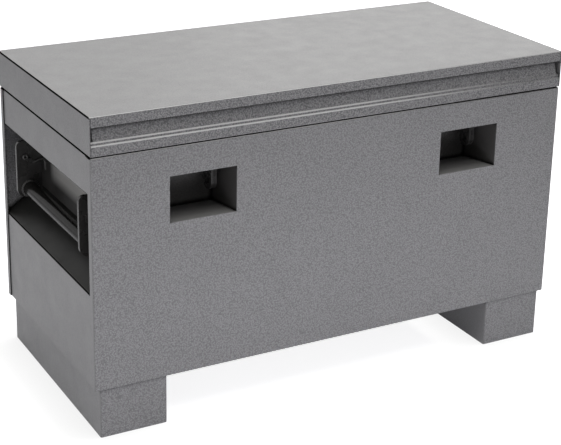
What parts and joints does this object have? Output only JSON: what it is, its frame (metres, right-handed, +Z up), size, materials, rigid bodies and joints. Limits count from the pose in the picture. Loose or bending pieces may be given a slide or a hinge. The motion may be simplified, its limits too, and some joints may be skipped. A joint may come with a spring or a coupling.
{
  "type": "jobsite storage box",
  "caption": "Long sheet-steel storage chest on two skids, with a hinged stepped lid, padlock pockets in its front and a drop handle recessed in each end.",
  "frame": {"origin": "on the floor, under the middle of the box shell (the hinge barrel stands 8 mm out behind it)", "axes": "+X along the box towards its right end, +Y from the front with the padlock pockets to the hinged rear, +Z up"},
  "size_m": [0.9144, 0.4398, 0.5588],
  "materials": {
    "shell": "dark grey hammertone powder coat",
    "handle_paint": "satin black powder coat",
    "zinc": "zinc plate",
    "cylinder": "gloss black enamel",
    "rod": "ground hard chrome"
  },
  "bodies": {
    "box": {"floor_pan": "shell", "front_panel": "shell", "hinge_body_leaf": "zinc", "hinge_pin": "zinc", "left_end_panel": "shell", "left_handle_front_lug": "handle_paint", "left_handle_rear_lug": "handle_paint", "left_lock_pocket": "shell", "left_skid": "shell", "left_staple": "shell", "left_strut_bracket": "zinc", "rear_panel": "shell", "right_end_panel": "shell", "right_handle_front_lug": "handle_paint", "right_handle_rear_lug": "handle_paint", "right_lock_pocket": "shell", "right_skid": "shell", "right_staple": "shell", "right_strut_bracket": "zinc"},
    "lid": {"hinge_lid_leaf": "zinc", "left_hasp": "shell", "left_lid_cap": "shell", "left_lid_stud": "zinc", "lid_skin": "shell", "lid_stiffener": "shell", "right_hasp": "shell", "right_lid_cap": "shell", "right_lid_stud": "zinc"},
    "left_handle": {"left_handle_front_arm": "handle_paint", "left_handle_grip": "handle_paint", "left_handle_rear_arm": "handle_paint"},
    "right_handle": {"right_handle_front_arm": "handle_paint", "right_handle_grip": "handle_paint", "right_handle_rear_arm": "handle_paint"},
    "left_strut_cylinder": {"left_strut_cylinder": "cylinder"},
    "left_strut_rod": {"left_strut_rod": "rod"},
    "right_strut_cylinder": {"right_strut_cylinder": "cylinder"},
    "right_strut_rod": {"right_strut_rod": "rod"}
  },
  "joints": [
    {"name": "lid_hinge", "type": "hinge", "parent": "box", "child": "lid", "pos_m": [0, 0.2199, 0.492], "axis": [-1, 0, 0], "range_deg": [0, 80]},
    {"name": "left_handle_swing", "type": "hinge", "parent": "box", "child": "left_handle", "pos_m": [-0.431, 0, 0.3714], "axis": [0, 1, 0], "range_deg": [0, 90]},
    {"name": "left_strut_swing", "type": "hinge", "parent": "box", "child": "left_strut_cylinder", "pos_m": [-0.4194, 0.1799, 0.4654], "axis": [-1, 0, 0], "range_deg": [0, 78.8]},
    {"name": "left_strut_stroke", "type": "slide", "parent": "left_strut_cylinder", "child": "left_strut_rod", "axis": [0, -0.9324, 0.3613], "range_m": [0, 0.0616]},
    {"name": "right_handle_swing", "type": "hinge", "parent": "box", "child": "right_handle", "pos_m": [0.431, 0, 0.3714], "axis": [0, -1, 0], "range_deg": [0, 90]},
    {"name": "right_strut_swing", "type": "hinge", "parent": "box", "child": "right_strut_cylinder", "pos_m": [0.4194, 0.1799, 0.4654], "axis": [-1, 0, 0], "range_deg": [0, 78.8]},
    {"name": "right_strut_stroke", "type": "slide", "parent": "right_strut_cylinder", "child": "right_strut_rod", "axis": [0, -0.9324, 0.3613], "range_m": [0, 0.0616]}
  ],
  "couplings": [
    {"joint": "left_strut_swing", "follows": "lid_hinge", "ratio": 0.98411},
    {"joint": "left_strut_stroke", "follows": "lid_hinge", "m_per_rad": 0.044115},
    {"joint": "right_strut_swing", "follows": "lid_hinge", "ratio": 0.98411},
    {"joint": "right_strut_stroke", "follows": "lid_hinge", "m_per_rad": 0.044115}
  ]
}
